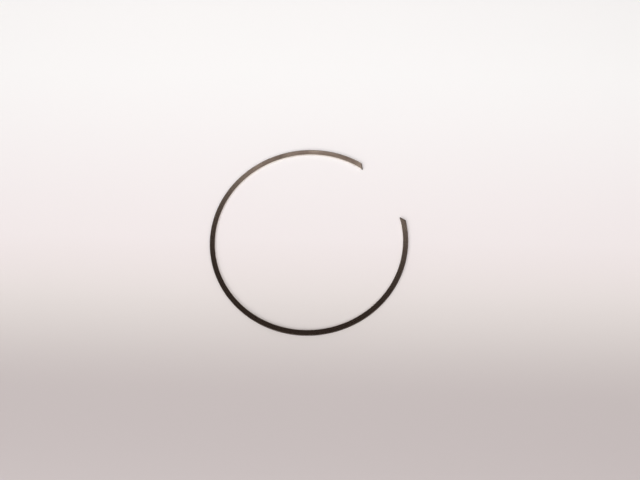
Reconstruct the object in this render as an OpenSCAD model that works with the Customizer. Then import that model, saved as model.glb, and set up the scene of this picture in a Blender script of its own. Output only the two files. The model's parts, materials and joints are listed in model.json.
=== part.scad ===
// Open snap ring of flat spring wire, for a groove inside a bore.
// Millimetres. The relaxed ring lies on z = 0, its axis on Z, its opening towards +X.

/* [Ring] */
// Outside diameter of the relaxed ring
free_d = 115; // [80:0.5:150]
// Opening between the points of the two ends, seen from the centre
gap_angle = 40; // [20:1:60]

/* [Wire] */
// Width of the flat wire, across the ring
wire_w = 3; // [2:0.1:5]
// Thickness of the flat wire, along the axis
wire_t = 1.5; // [0.8:0.1:3]
// Rounding of the wire's long edges
edge_r = 0.15; // [0.1:0.05:0.35]

/* [Ends] */
// Slant of each end cut, away from a radial line
slant = 45; // [20:1:55]
// Rounding of the point, on the inside of each end
point_r = 0.25; // [0.15:0.05:0.4]
// Rounding of the corner on the outside of each end
heel_r = 0.8; // [0.3:0.1:1.2]

/* [Hidden] */
$fa = 2;
$fs = 0.05;

outer_r = free_d / 2;
inner_r = outer_r - wire_w;
steel = [0.21, 0.17, 0.15];
// how far a cut runs on past the wire
margin = 1;
// the arc of a corner is centred this share of its radius from both sides, so it crosses them
crossing = 0.98;

// A point of one end's cut, s along it from the sharp point and d behind it.
// The sharp point is on the x axis, and the wire goes off towards +Y.
function on_cut(s, d = 0) = [
    inner_r + s * cos(slant) - d * sin(slant),
    s * sin(slant) + d * cos(slant)
];

// The s of the point that is d behind the cut and r from the ring's axis
function s_at(r, d = 0) =
    let (b = inner_r * cos(slant))
    sqrt(b * b - d * d - inner_r * inner_r + 2 * inner_r * d * sin(slant) + r * r) - b;

// The point beyond p on the line from c
function past(c, p) = p + margin * (p - c) / norm(p - c);

function turned(p, a) = [p[0] * cos(a) - p[1] * sin(a), p[0] * sin(a) + p[1] * cos(a)];

// Section of the drawn wire, at its place in the ring
module wire_section() {
    translate([inner_r, edge_r]) square([wire_w, wire_t - 2 * edge_r]);
    translate([inner_r + edge_r, 0]) square([wire_w - 2 * edge_r, wire_t]);
    for (x = [inner_r + edge_r, outer_r - edge_r], z = [edge_r, wire_t - edge_r])
        translate([x, z]) circle(r = edge_r);
}

// Plan of what a rounding of radius r takes off the corner between a cut and a wall.
// side is 1 at the inner wall and -1 at the outer one.
module corner_offcut(r, wall_r, side) {
    d = crossing * r;
    s = s_at(wall_r + side * d, d);
    c = on_cut(s, d);
    difference() {
        polygon([
            c,
            past(c, on_cut(s)),
            past(c, on_cut(s_at(wall_r))),
            past(c, c * wall_r / norm(c))
        ]);
        translate(c) circle(r = r);
    }
}

module end_offcuts() {
    corner_offcut(point_r, inner_r, 1);
    corner_offcut(heel_r, outer_r, -1);
}

// Plan of the opening, wider at the outside because both cuts slant back
module opening() {
    half = gap_angle / 2;
    inside = turned(on_cut(-margin), half);
    outside = turned(on_cut(s_at(outer_r + margin)), half);
    polygon([
        inside, outside, [2 * outer_r, 0],
        [outside[0], -outside[1]], [inside[0], -inside[1]]
    ]);
    rotate(half) end_offcuts();
    mirror([0, 1]) rotate(half) end_offcuts();
}

module snap_ring() {
    color(steel)
    difference() {
        rotate_extrude() wire_section();
        translate([0, 0, -margin]) linear_extrude(wire_t + 2 * margin) opening();
    }
}

snap_ring();
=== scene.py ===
import json
from math import cos, pi, radians, sin

import bpy
from mathutils import Matrix, Vector


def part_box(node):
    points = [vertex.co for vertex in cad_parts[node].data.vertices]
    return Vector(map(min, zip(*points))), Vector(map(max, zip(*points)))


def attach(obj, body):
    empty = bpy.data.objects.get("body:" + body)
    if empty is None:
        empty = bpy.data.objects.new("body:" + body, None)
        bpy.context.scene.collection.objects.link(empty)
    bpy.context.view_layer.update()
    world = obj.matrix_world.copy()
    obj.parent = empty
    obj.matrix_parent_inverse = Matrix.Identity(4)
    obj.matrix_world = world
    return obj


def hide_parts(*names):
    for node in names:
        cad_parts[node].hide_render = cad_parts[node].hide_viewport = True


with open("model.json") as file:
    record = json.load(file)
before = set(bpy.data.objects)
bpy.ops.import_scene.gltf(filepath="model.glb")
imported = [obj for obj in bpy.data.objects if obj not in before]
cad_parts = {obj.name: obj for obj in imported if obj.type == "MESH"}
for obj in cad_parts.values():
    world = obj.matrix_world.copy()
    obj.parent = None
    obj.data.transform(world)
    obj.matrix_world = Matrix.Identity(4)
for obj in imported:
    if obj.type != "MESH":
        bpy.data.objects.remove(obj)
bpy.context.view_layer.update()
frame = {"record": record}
record = frame["record"]


def fromHex(text):
    # sRGB hex to the linear colour that the sockets take
    channels = [int(text[i:i + 2], 16) / 255 for i in (0, 2, 4)]
    return [c / 12.92 if c <= 0.04045 else ((c + 0.055) / 1.055) ** 2.4 for c in channels] + [1]


def addNode(tree, kind, inputs=(), **settings):
    # inputs is a list in socket order, or a dictionary by socket name or number.
    # A Mix node goes by number: 0 is the factor, 2 and 3 the two values, 6 and 7 the two colours.
    node = tree.nodes.new(kind)
    for name, value in settings.items():
        setattr(node, name, value)
    pairs = inputs.items() if isinstance(inputs, dict) else enumerate(inputs)
    for socket, value in pairs:
        if isinstance(value, bpy.types.Node):
            value = value.outputs[0]
        if isinstance(value, bpy.types.NodeSocket):
            tree.links.new(value, node.inputs[socket])
        else:
            node.inputs[socket].default_value = value
    return node


# Camera
# A 50 mm lens half a metre away, looking steeply down, with the ring's opening at the upper right
view = {
    "lens": 50,
    "sensor": 36,
    "nearest": 0.01,
    "distance": 0.5158,
    "elevation": 68.6,
    "azimuth": -28.3,
    "roll": 5.9,            # the picture's content is turned this far anticlockwise
    "aimRight": 0.00650,    # what it looks at, from the ring's centre
    "aimAhead": -0.00086,
}

azimuth, elevation = radians(view["azimuth"]), radians(view["elevation"])
rightward = Vector((cos(azimuth), sin(azimuth), 0))
ahead = Vector((-sin(azimuth), cos(azimuth), 0))
upward = Vector((0, 0, 1))


def fromCamera(right, forward, up):
    # a place as the camera sees it: to its right, away from it and up from the floor
    return right * rightward + forward * ahead + up * upward


aim = fromCamera(view["aimRight"], view["aimAhead"], 0)
toCamera = fromCamera(0, -cos(elevation), sin(elevation))
camera = bpy.data.objects.new("camera", bpy.data.cameras.new("camera"))
camera.data.lens = view["lens"]
camera.data.sensor_width = view["sensor"]
camera.data.clip_start = view["nearest"]
turn = toCamera.to_track_quat("Z", "Y").to_matrix() @ Matrix.Rotation(-radians(view["roll"]), 3, "Z")
camera.matrix_world = Matrix.Translation(aim + view["distance"] * toCamera) @ turn.to_4x4()
bpy.context.scene.collection.objects.link(camera)
bpy.context.scene.camera = camera
print("camera placed")


# The ring
# The sizes that the frame tells are taken from it, and the rest are those of the part's own source
low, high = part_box("snap_ring")
radii = {
    mount["name"]: mount["dims"]["r_mm"] / 1000
    for mount in record["mounts"] if "r_mm" in mount["dims"]
}
ringSizes = {
    "Outer radius": -low.x,
    "Wire width": radii["rim"] - radii["bore"],
    "Wire thickness": high.z - low.z,
    "Edge rounding": 0.00015,       # the long edges, as drawn
    "Opening": radians(40),         # between the two points
    "Slant": radians(45),           # of each end cut, away from a radial line
    "Point rounding": 0.00025,
    "Heel rounding": 0.0008,
    "Cut rounding": 0.0001,         # tumbled edges round the cut faces
}
# points of the grid that is bent into the wire, and the angle from which an edge shades as a sharp one
ringMesh = {"along": 361, "across": 33, "high": 17, "sharpFrom": radians(30)}


def ringTree():
    tree = bpy.data.node_groups.new("wireBentRound", "GeometryNodeTree")
    newSocket = tree.interface.new_socket
    sockets = {}
    for name in ringSizes:
        sockets[name] = newSocket(name=name, in_out="INPUT", socket_type="NodeSocketFloat")
    sockets["Steel"] = newSocket(name="Steel", in_out="INPUT", socket_type="NodeSocketMaterial")
    newSocket(name="Ring", in_out="OUTPUT", socket_type="NodeSocketGeometry")
    size = addNode(tree, "NodeGroupInput").outputs
    calc, vector, join = "ShaderNodeMath", "ShaderNodeVectorMath", "ShaderNodeCombineXYZ"

    # a unit block, of which x runs along the wire, y inwards across it and z up
    block = addNode(tree, "GeometryNodeMeshCube", {
        "Vertices X": ringMesh["along"],
        "Vertices Y": ringMesh["across"],
        "Vertices Z": ringMesh["high"],
    })
    # each side goes from -1 to 1, with the points crowded towards its ends, where the roundings are
    spot = addNode(tree, "GeometryNodeInputPosition")
    spot = addNode(tree, vector, [spot, (pi, pi, pi)], operation="MULTIPLY")
    spot = addNode(tree, vector, [spot], operation="SINE")
    spot = addNode(tree, "ShaderNodeSeparateXYZ", [spot]).outputs
    share = addNode(tree, calc, [spot["X"], 0.5, 0.5], operation="MULTIPLY_ADD")

    halfWidth = addNode(tree, calc, [size["Wire width"], 0.5], operation="MULTIPLY")
    halfThick = addNode(tree, calc, [size["Wire thickness"], 0.5], operation="MULTIPLY")
    middle = addNode(tree, calc, [size["Outer radius"], halfWidth], operation="SUBTRACT")
    inner = addNode(tree, calc, [middle, halfWidth], operation="SUBTRACT")
    halfOpening = addNode(tree, calc, [size["Opening"], 0.5], operation="MULTIPLY")
    sweep = addNode(tree, calc, [2 * pi, size["Opening"]], operation="SUBTRACT")

    # near each cut the section draws in along a quarter round
    fromOther = addNode(tree, calc, [1, share], operation="SUBTRACT")
    fromEnd = addNode(tree, calc, [share, fromOther], operation="MINIMUM")
    length = addNode(tree, calc, [sweep, middle], operation="MULTIPLY")
    leaning = addNode(tree, calc, [size["Slant"]], operation="COSINE")
    behind = addNode(tree, calc, [fromEnd, length], operation="MULTIPLY")
    behind = addNode(tree, calc, [behind, leaning], operation="MULTIPLY")
    short = addNode(tree, calc, [size["Cut rounding"], behind], operation="SUBTRACT")
    short = addNode(tree, calc, [short, 0], operation="MAXIMUM")
    square = addNode(tree, calc, [size["Cut rounding"], 2], operation="POWER")
    rest = addNode(tree, calc, [short, 2], operation="POWER")
    rest = addNode(tree, calc, [square, rest], operation="SUBTRACT")
    rest = addNode(tree, calc, [rest, 0], operation="MAXIMUM")
    rest = addNode(tree, calc, [rest], operation="SQRT")
    inset = addNode(tree, calc, [size["Cut rounding"], rest], operation="SUBTRACT")

    # the section: a rectangle whose corners are pushed onto arcs
    reachAcross = addNode(tree, calc, [halfWidth, inset], operation="SUBTRACT")
    reachUp = addNode(tree, calc, [halfThick, inset], operation="SUBTRACT")
    point = addNode(tree, join, [
        0,
        addNode(tree, calc, [spot["Y"], reachAcross], operation="MULTIPLY"),
        addNode(tree, calc, [spot["Z"], reachUp], operation="MULTIPLY"),
    ])
    core = addNode(tree, join, [
        0,
        addNode(tree, calc, [halfWidth, size["Edge rounding"]], operation="SUBTRACT"),
        addNode(tree, calc, [halfThick, size["Edge rounding"]], operation="SUBTRACT"),
    ])
    coreLow = addNode(tree, vector, [core, (-1, -1, -1)], operation="MULTIPLY")
    kept = addNode(tree, vector, [point, core], operation="MINIMUM")
    kept = addNode(tree, vector, [kept, coreLow], operation="MAXIMUM")
    past = addNode(tree, vector, [point, kept], operation="SUBTRACT")
    pastLength = addNode(tree, vector, [past], operation="LENGTH").outputs["Value"]
    pastLength = addNode(tree, calc, [pastLength, 1e-9], operation="MAXIMUM")    # never 0, since it divides
    pastEach = addNode(tree, vector, [past], operation="ABSOLUTE")
    pastEach = addNode(tree, "ShaderNodeSeparateXYZ", [pastEach]).outputs
    most = addNode(tree, calc, [pastEach["Y"], pastEach["Z"]], operation="MAXIMUM")
    pull = addNode(tree, calc, [most, pastLength], operation="DIVIDE")
    pulled = addNode(tree, vector, {"Vector": past, "Scale": pull}, operation="SCALE")
    section = addNode(tree, vector, [kept, pulled], operation="ADD")
    place = addNode(tree, "ShaderNodeSeparateXYZ", [section]).outputs
    radius = addNode(tree, calc, [middle, place["Y"]], operation="SUBTRACT")

    # how far each end stands back at this radius: along the slanted cut, and along an arc near its corners
    cutOffset = addNode(tree, calc, [size["Slant"]], operation="SINE")
    cutOffset = addNode(tree, calc, [inner, cutOffset], operation="MULTIPLY")
    angle = addNode(tree, calc, [cutOffset, radius], operation="DIVIDE")
    angle = addNode(tree, calc, [angle], operation="ARCSINE")
    back = addNode(tree, calc, [size["Slant"], angle], operation="SUBTRACT")
    for wall, intoWire, rounding, beyond in (
        (inner, "ADD", size["Point rounding"], "LESS_THAN"),
        (size["Outer radius"], "SUBTRACT", size["Heel rounding"], "GREATER_THAN"),
    ):
        centre = addNode(tree, calc, [wall, rounding], operation=intoWire)
        offset = addNode(tree, calc, [cutOffset, rounding], operation="SUBTRACT")
        lean = addNode(tree, calc, [offset, centre], operation="DIVIDE")
        lean = addNode(tree, calc, [lean], operation="ARCSINE")
        centreAngle = addNode(tree, calc, [size["Slant"], lean], operation="SUBTRACT")
        # half the chord's angle, in a form that stays exact where the arc meets the wall
        away = addNode(tree, calc, [radius, centre], operation="SUBTRACT")
        square = addNode(tree, calc, [rounding, 2], operation="POWER")
        chord = addNode(tree, calc, [away, 2], operation="POWER")
        chord = addNode(tree, calc, [square, chord], operation="SUBTRACT")
        chord = addNode(tree, calc, [chord, 0], operation="MAXIMUM")
        both = addNode(tree, calc, [radius, centre], operation="MULTIPLY")
        chord = addNode(tree, calc, [chord, both], operation="DIVIDE")
        chord = addNode(tree, calc, [chord], operation="SQRT")
        half = addNode(tree, calc, [chord, 0.5], operation="MULTIPLY")
        half = addNode(tree, calc, [half], operation="ARCSINE")
        arc = addNode(tree, calc, [half, -2, centreAngle], operation="MULTIPLY_ADD")
        # the arc takes over past the radius at which it touches the cut
        squares = [addNode(tree, calc, [side, 2], operation="POWER") for side in (centre, offset, cutOffset)]
        touch = addNode(tree, calc, squares[:2], operation="SUBTRACT")
        touch = addNode(tree, calc, [touch, squares[2]], operation="ADD")
        touch = addNode(tree, calc, [touch], operation="SQRT")
        onArc = addNode(tree, calc, [radius, touch], operation=beyond)
        back = addNode(tree, "ShaderNodeMix", {0: onArc, 2: back, 3: arc}, data_type="FLOAT")

    # once round, from one cut to the other
    start = addNode(tree, calc, [halfOpening, back], operation="ADD")
    span = addNode(tree, calc, [start, -2, 2 * pi], operation="MULTIPLY_ADD")
    turned = addNode(tree, calc, [span, share, start], operation="MULTIPLY_ADD")
    turnedX = addNode(tree, calc, [turned], operation="COSINE")
    turnedY = addNode(tree, calc, [turned], operation="SINE")
    bent = addNode(tree, join, [
        addNode(tree, calc, [radius, turnedX], operation="MULTIPLY"),
        addNode(tree, calc, [radius, turnedY], operation="MULTIPLY"),
        addNode(tree, calc, [place["Z"], halfThick], operation="ADD"),
    ])

    # what the material needs to know of each point: where it is in the wire, how far it is edge or wall,
    # and how far behind the cut it is
    wirePlace = addNode(tree, join, [
        addNode(tree, calc, [turned, middle], operation="MULTIPLY"),
        place["Y"],
        place["Z"],
    ])
    edge = addNode(tree, calc, [pastEach["Y"], pastEach["Z"]], operation="MULTIPLY")
    square = addNode(tree, calc, [pastLength, 2], operation="POWER")
    edge = addNode(tree, calc, [edge, square], operation="DIVIDE")
    wireZone = addNode(tree, join, [
        addNode(tree, calc, [edge, 2], operation="MULTIPLY"),
        addNode(tree, calc, [pastEach["Y"], pastLength], operation="DIVIDE"),
        behind,
    ])
    shape = block.outputs["Mesh"]
    for name, value in (("wirePlace", wirePlace), ("wireZone", wireZone)):
        shape = addNode(
            tree, "GeometryNodeStoreNamedAttribute", {"Geometry": shape, "Name": name, "Value": value},
            data_type="FLOAT_VECTOR", domain="POINT",
        )
    shape = addNode(tree, "GeometryNodeSetPosition", {"Geometry": shape, "Position": bent})
    shape = addNode(tree, "GeometryNodeSetShadeSmooth", [shape])
    shape = addNode(tree, "GeometryNodeRealizeInstances", [shape])
    shape = addNode(tree, "GeometryNodeSetMaterial", {"Geometry": shape, "Material": size["Steel"]})
    addNode(tree, "NodeGroupOutput", [shape])
    return tree, sockets


# Flat spring steel wire, drawn through a die, coiled, hardened and tempered, then blackened and oiled.
# To the eye it is dark brown-grey with a silky sheen. The die leaves lines along the wire, the temper and the
# oil leave soft clouds, black oxide stays on the outer wall and the long edges, and the inner wall is
# burnished bright and painted paler still, as a painted reflection of the pale floor.
steelLook = {
    "dark": "61534A",
    "light": "96877B",
    "oxide": "382F29",          # on the outer wall and along the long edges
    "inside": "E0DAD2",         # the inner wall, burnished by the arbor that the ring was coiled on, and painted paler than that as a painted reflection of the pale floor
    "cut": "362E29",            # dark again round the ends, where the wire was cropped
    "metallic": 1.0,
    "roughness": (0.24, 0.32),  # where it is light and where it is dark
    "oxideRoughness": 0.55,
    "insideRoughness": 0.3,
    "lineWidth": 0.0004,        # die lines are 0.05 mm wide, too fine to show, so they are drawn 8 times that
    "lineLength": 0.03,
    "cloud": 0.009,             # patches of oil and temper colour, about 9 mm across
    "grain": 0.0003,            # etched crystals of 0.02 mm, drawn coarser too
    "lineShare": 0.45,          # what each of the three adds to the shade
    "cloudShare": 0.4,
    "grainShare": 0.15,
    "shadeRange": (0.35, 0.65),     # the sums that are fully dark and fully light
    "oxideLeast": 0.35,         # the clouds break up the oxide, and this much of it is everywhere
    "burnishAndPaintedReflection": (0.5, 0.9),    # from where to where the burnish and its painted reflection set in, from the face to the inner wall
    "cutWidth": 0.0008,
    "cutCover": 0.85,
    "relief": 0.00002,
    "reliefStrength": 0.25,
    "grainRelief": 0.4,         # against 1 for the lines
}


def blackenedSteel():
    look = steelLook
    material = bpy.data.materials.new("blackenedSpringSteel")
    material.use_nodes = True
    tree = material.node_tree
    tree.nodes.clear()
    calc, limits = "ShaderNodeMath", "ShaderNodeMapRange"
    place = addNode(tree, "ShaderNodeAttribute", attribute_name="wirePlace").outputs["Vector"]
    zone = addNode(tree, "ShaderNodeAttribute", attribute_name="wireZone").outputs["Vector"]
    edge, wall, behind = addNode(tree, "ShaderNodeSeparateXYZ", [zone]).outputs
    spot = addNode(tree, "ShaderNodeTexCoord").outputs["Object"]

    stretched = (1 / look["lineLength"], 1 / look["lineWidth"], 1 / look["lineWidth"])
    lines = addNode(tree, "ShaderNodeVectorMath", [place, stretched], operation="MULTIPLY")
    lines = addNode(tree, "ShaderNodeTexNoise", {"Vector": lines, "Scale": 1, "Detail": 3, "Roughness": 0.6})
    clouds = addNode(tree, "ShaderNodeTexNoise", {
        "Vector": spot, "Scale": 1 / look["cloud"], "Detail": 4, "Roughness": 0.55,
    })
    grain = addNode(tree, "ShaderNodeTexNoise", {"Vector": spot, "Scale": 1 / look["grain"], "Detail": 2})

    shade = addNode(tree, calc, [lines, look["lineShare"]], operation="MULTIPLY")
    shade = addNode(tree, calc, [clouds, look["cloudShare"], shade], operation="MULTIPLY_ADD")
    shade = addNode(tree, calc, [grain, look["grainShare"], shade], operation="MULTIPLY_ADD")
    darkest, lightest = look["shadeRange"]
    shade = addNode(tree, limits, {"Value": shade, "From Min": darkest, "From Max": lightest})
    inward = addNode(tree, "ShaderNodeSeparateXYZ", [place]).outputs["Y"]
    inside = addNode(tree, calc, [inward, 0], operation="GREATER_THAN")
    patchy = addNode(tree, calc, [clouds, look["oxideLeast"]], operation="ADD")
    oxide = addNode(tree, calc, [wall, edge], operation="MAXIMUM")
    oxide = addNode(tree, calc, [oxide, patchy], operation="MULTIPLY", use_clamp=True)
    first, last = look["burnishAndPaintedReflection"]
    # the inner wall's burnish, painted paler than real steel as a painted reflection of the pale floor
    burnishAndPaintedReflection = addNode(tree, calc, [wall, inside], operation="MULTIPLY")
    burnishAndPaintedReflection = addNode(tree, limits, {"Value": burnishAndPaintedReflection, "From Min": first, "From Max": last})
    cropped = addNode(tree, limits, {
        "Value": behind, "From Max": look["cutWidth"], "To Min": look["cutCover"], "To Max": 0,
    })

    colour = fromHex(look["dark"])
    for cover, name in ((shade, "light"), (oxide, "oxide"), (burnishAndPaintedReflection, "inside"), (cropped, "cut")):
        inputs = {0: cover, 6: colour, 7: fromHex(look[name])}
        colour = addNode(tree, "ShaderNodeMix", inputs, data_type="RGBA").outputs[2]
    smoothest, roughest = look["roughness"]
    roughness = addNode(tree, limits, {"Value": shade, "To Min": roughest, "To Max": smoothest})
    for cover, name in ((oxide, "oxideRoughness"), (burnishAndPaintedReflection, "insideRoughness")):
        roughness = addNode(tree, "ShaderNodeMix", {0: cover, 2: roughness, 3: look[name]}, data_type="FLOAT")
    relief = addNode(tree, calc, [grain, look["grainRelief"], lines], operation="MULTIPLY_ADD")
    bump = addNode(tree, "ShaderNodeBump", {
        "Strength": look["reliefStrength"], "Distance": look["relief"], "Height": relief,
    })
    steel = addNode(tree, "ShaderNodeBsdfPrincipled", {
        "Base Color": colour, "Metallic": look["metallic"], "Roughness": roughness, "Normal": bump,
    })
    addNode(tree, "ShaderNodeOutputMaterial", [steel])
    return material


def makeRing():
    tree, sockets = ringTree()
    builder = bpy.data.objects.new("ringBuilder", bpy.data.meshes.new("ringBuilder"))
    bpy.context.scene.collection.objects.link(builder)
    modifier = builder.modifiers.new("wire", "NODES")
    modifier.node_group = tree
    for name, value in ringSizes.items():
        modifier[sockets[name].identifier] = value
    modifier[sockets["Steel"].identifier] = blackenedSteel()
    evaluated = builder.evaluated_get(bpy.context.evaluated_depsgraph_get())
    mesh = bpy.data.meshes.new_from_object(evaluated)
    mesh.name = "snapRing"
    mesh.set_sharp_from_angle(angle=ringMesh["sharpFrom"])
    builder.modifiers.remove(modifier)
    bpy.data.objects.remove(builder)
    ring = bpy.data.objects.new("snapRing", mesh)
    bpy.context.scene.collection.objects.link(ring)
    return ring


ring = makeRing()
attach(ring, "root")
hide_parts("snap_ring")
print("ring made,", len(ring.data.polygons), "faces")


# The room, pale round the walls and dark overhead, all dark from where a direction's height is ceilingFrom
roomLook = {"walls": "E6E2E0", "ceiling": "2A150B", "ceilingFrom": 0.5}

# Floor
# Matt coated card, near white, with painted shade in its colour: a soft grey band of painted light fall-off
# across it in front of the ring, lightest beyond the ring. Camera and reflected rays see part of it glowing
# with its own colour, whatever the lamps do, so that the ring's shadow stays faint on it, and far off it
# fades into the walls.
floorLook = {
    "size": 6,
    "ownPaleness": 0.3,
    "fades": (0.3, 2.0),                # from the centre
    "paintedShadeLine": radians(7.5),      # the line of the painted shading, turned from straight ahead to the right
    "paintedShades": {                         # painted shade, by the distance ahead of the ring's centre
        -0.34: "FDF7F6",
        -0.20: "D8D0CF",
        -0.09: "BAB0B0",
        -0.04: "E9E3DF",
        0: "F3E9EA",
        0.11: "FFFFFE",
    },
}


def paleCard():
    look = floorLook
    material = bpy.data.materials.new("paleCard")
    material.use_nodes = True
    tree = material.node_tree
    tree.nodes.clear()
    calc, vector, limits = "ShaderNodeMath", "ShaderNodeVectorMath", "ShaderNodeMapRange"
    line = fromCamera(sin(look["paintedShadeLine"]), cos(look["paintedShadeLine"]), 0)
    spot = addNode(tree, "ShaderNodeTexCoord").outputs["Object"]
    along = addNode(tree, vector, [spot, line], operation="DOT_PRODUCT").outputs["Value"]
    first, last = min(look["paintedShades"]), max(look["paintedShades"])
    along = addNode(tree, limits, {"Value": along, "From Min": first, "From Max": last})
    # the card's colour carries painted shade: light falling off across the card in front of the ring
    colour = addNode(tree, "ShaderNodeValToRGB", [along])
    colour.color_ramp.interpolation = "B_SPLINE"
    stops = colour.color_ramp.elements
    while len(stops) < len(look["paintedShades"]):
        stops.new(1)
    for stop, (distance, shade) in zip(stops, sorted(look["paintedShades"].items())):
        stop.position = (distance - first) / (last - first)
        stop.color = fromHex(shade)
    near, far = look["fades"]
    away = addNode(tree, vector, [spot], operation="LENGTH").outputs["Value"]
    away = addNode(tree, limits, {"Value": away, "From Min": near, "From Max": far})
    walls = fromHex(roomLook["walls"])
    colour = addNode(tree, "ShaderNodeMix", {0: away, 6: colour, 7: walls}, data_type="RGBA").outputs[2]
    card = addNode(tree, "ShaderNodeBsdfDiffuse", {"Color": colour})
    glow = addNode(tree, "ShaderNodeEmission", {"Color": colour, "Strength": 1})
    path = addNode(tree, "ShaderNodeLightPath").outputs
    seen = addNode(tree, calc, [path["Is Camera Ray"], path["Is Glossy Ray"]], operation="ADD")
    seen = addNode(tree, calc, [seen, path["Is Transmission Ray"]], operation="ADD")
    own = addNode(tree, limits, {"Value": away, "To Min": look["ownPaleness"], "To Max": 1})
    seen = addNode(tree, calc, [seen, own], operation="MULTIPLY")
    addNode(tree, "ShaderNodeOutputMaterial", [addNode(tree, "ShaderNodeMixShader", [seen, card, glow])])
    return material


def makeFloor():
    half = floorLook["size"] / 2
    corners = [(-half, -half, 0), (half, -half, 0), (half, half, 0), (-half, half, 0)]
    mesh = bpy.data.meshes.new("floor")
    mesh.from_pydata(corners, [], [(0, 1, 2, 3)])
    mesh.materials.append(paleCard())
    floor = bpy.data.objects.new("floor", mesh)
    bpy.context.scene.collection.objects.link(floor)
    return floor


makeFloor()
print("floor laid")


# Light
# Places are to the camera's right, away from it and up. The strip behind gives the sheen on the far side of
# the ring, and the large lamp at the front left throws the narrow shadow inside it.
lamps = {
    "backStrip": {"at": (0.074, 0.199, 0.30), "size": (0.7, 0.10), "watts": 0.385},
    "frontLeft": {"at": (-0.74, -0.83, 1.12), "size": (1.44, 1.44), "watts": 25.4},
    "frontRight": {"at": (0.80, -0.83, 1.15), "size": (0.96, 0.96), "watts": 7.0},
}


def makeLamp(name, lamp):
    light = bpy.data.lights.new(name, "AREA")
    light.shape = "RECTANGLE"
    light.size, light.size_y = lamp["size"]
    light.energy = lamp["watts"]
    lightObject = bpy.data.objects.new(name, light)
    spot = fromCamera(*lamp["at"])
    facing = spot.to_track_quat("Z", "Y").to_matrix().to_4x4()
    lightObject.matrix_world = Matrix.Translation(spot) @ facing
    lightObject.visible_camera = False
    bpy.context.scene.collection.objects.link(lightObject)


def makeRoom():
    world = bpy.data.worlds.new("room")
    world.use_nodes = True
    tree = world.node_tree
    tree.nodes.clear()
    direction = addNode(tree, "ShaderNodeTexCoord").outputs["Generated"]
    height = addNode(tree, "ShaderNodeSeparateXYZ", [direction]).outputs["Z"]
    height = addNode(tree, "ShaderNodeMapRange", {"Value": height, "From Max": roomLook["ceilingFrom"]})
    walls, ceiling = fromHex(roomLook["walls"]), fromHex(roomLook["ceiling"])
    room = addNode(tree, "ShaderNodeMix", {0: height, 6: walls, 7: ceiling}, data_type="RGBA").outputs[2]
    addNode(tree, "ShaderNodeOutputWorld", [addNode(tree, "ShaderNodeBackground", [room])])
    bpy.context.scene.world = world


for name, lamp in lamps.items():
    makeLamp(name, lamp)
makeRoom()
bpy.context.scene.view_settings.view_transform = "Standard"
print("light set")
